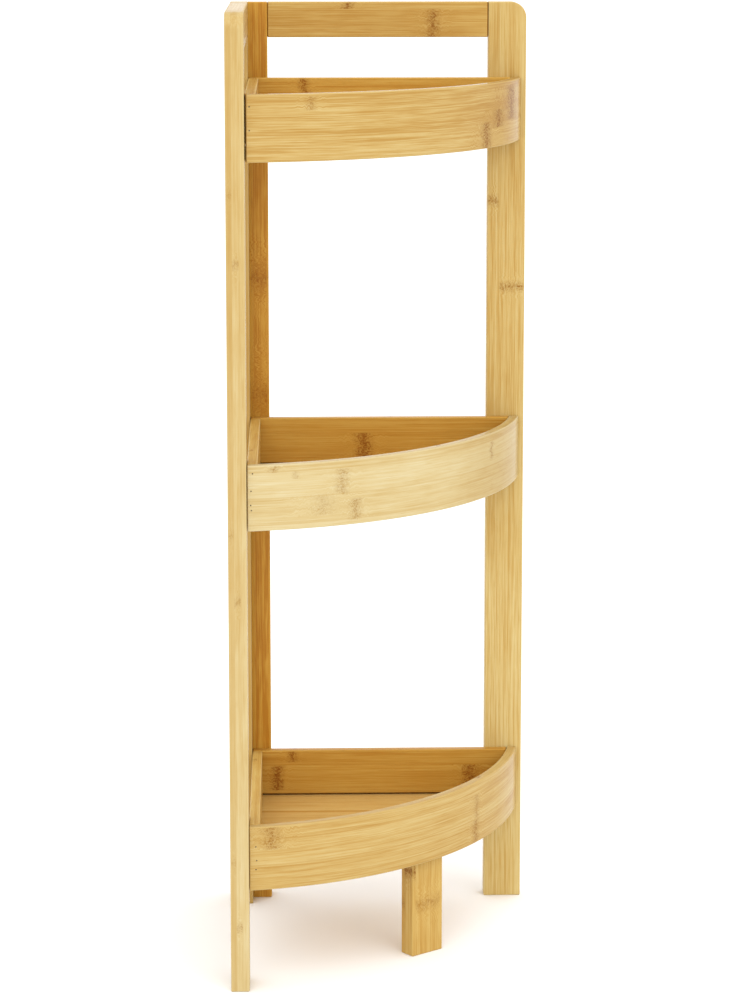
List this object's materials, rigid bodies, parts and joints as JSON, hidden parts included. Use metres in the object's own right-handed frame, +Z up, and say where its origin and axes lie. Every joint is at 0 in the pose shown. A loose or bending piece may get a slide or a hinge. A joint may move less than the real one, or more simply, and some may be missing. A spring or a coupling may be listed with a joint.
{
  "type": "corner shelf",
  "caption": "Free-standing bamboo corner shelf with two flat frames, quarter-round trays with rims, and a short centre leg.",
  "frame": {"origin": "on the floor, under the middle of the shelf's bounding box", "axes": "+Z up; +X to the right along the back wall; +Y towards the back wall, so the open front faces -Y and +X"},
  "size_m": [0.252, 0.252, 0.79],
  "materials": {
    "bamboo_pale": "satin",
    "bamboo_light": "satin",
    "bamboo_honey": "satin",
    "bamboo_amber": "satin",
    "bamboo_tan": "satin",
    "fastener_steel": "zinc plated"
  },
  "bodies": {
    "root": {"left_front_upright": "bamboo_light", "left_rear_upright": "bamboo_honey", "left_top_rail": "bamboo_honey", "back_corner_upright": "bamboo_tan", "back_right_upright": "bamboo_amber", "back_top_rail": "bamboo_amber", "upper_tray_back_rail": "bamboo_tan", "upper_tray_side_rail": "bamboo_honey", "upper_tray_curved_rail": "bamboo_honey", "upper_tray_floor": "bamboo_amber", "upper_tray_screw_1": "fastener_steel", "upper_tray_screw_2": "fastener_steel", "upper_tray_screw_3": "fastener_steel", "upper_tray_screw_4": "fastener_steel", "upper_tray_screw_5": "fastener_steel", "upper_tray_screw_6": "fastener_steel", "upper_tray_screw_7": "fastener_steel", "upper_tray_screw_8": "fastener_steel", "upper_tray_brad_1": "fastener_steel", "upper_tray_brad_2": "fastener_steel", "upper_tray_brad_3": "fastener_steel", "upper_tray_brad_4": "fastener_steel", "middle_tray_back_rail": "bamboo_tan", "middle_tray_side_rail": "bamboo_honey", "middle_tray_curved_rail": "bamboo_pale", "middle_tray_floor": "bamboo_amber", "middle_tray_screw_1": "fastener_steel", "middle_tray_screw_2": "fastener_steel", "middle_tray_screw_3": "fastener_steel", "middle_tray_screw_4": "fastener_steel", "middle_tray_screw_5": "fastener_steel", "middle_tray_screw_6": "fastener_steel", "middle_tray_screw_7": "fastener_steel", "middle_tray_screw_8": "fastener_steel", "middle_tray_brad_1": "fastener_steel", "middle_tray_brad_2": "fastener_steel", "middle_tray_brad_3": "fastener_steel", "middle_tray_brad_4": "fastener_steel", "middle_tray_brad_5": "fastener_steel", "middle_tray_brad_6": "fastener_steel", "lower_tray_back_rail": "bamboo_tan", "lower_tray_side_rail": "bamboo_honey", "lower_tray_curved_rail": "bamboo_honey", "lower_tray_floor": "bamboo_amber", "lower_tray_screw_1": "fastener_steel", "lower_tray_screw_2": "fastener_steel", "lower_tray_screw_3": "fastener_steel", "lower_tray_screw_4": "fastener_steel", "lower_tray_screw_5": "fastener_steel", "lower_tray_screw_6": "fastener_steel", "lower_tray_screw_7": "fastener_steel", "lower_tray_screw_8": "fastener_steel", "lower_tray_brad_1": "fastener_steel", "lower_tray_brad_2": "fastener_steel", "lower_tray_brad_3": "fastener_steel", "lower_tray_brad_4": "fastener_steel", "lower_tray_brad_5": "fastener_steel", "centre_leg": "bamboo_amber", "leg_screw_1": "fastener_steel", "leg_screw_2": "fastener_steel"}
  },
  "joints": []
}
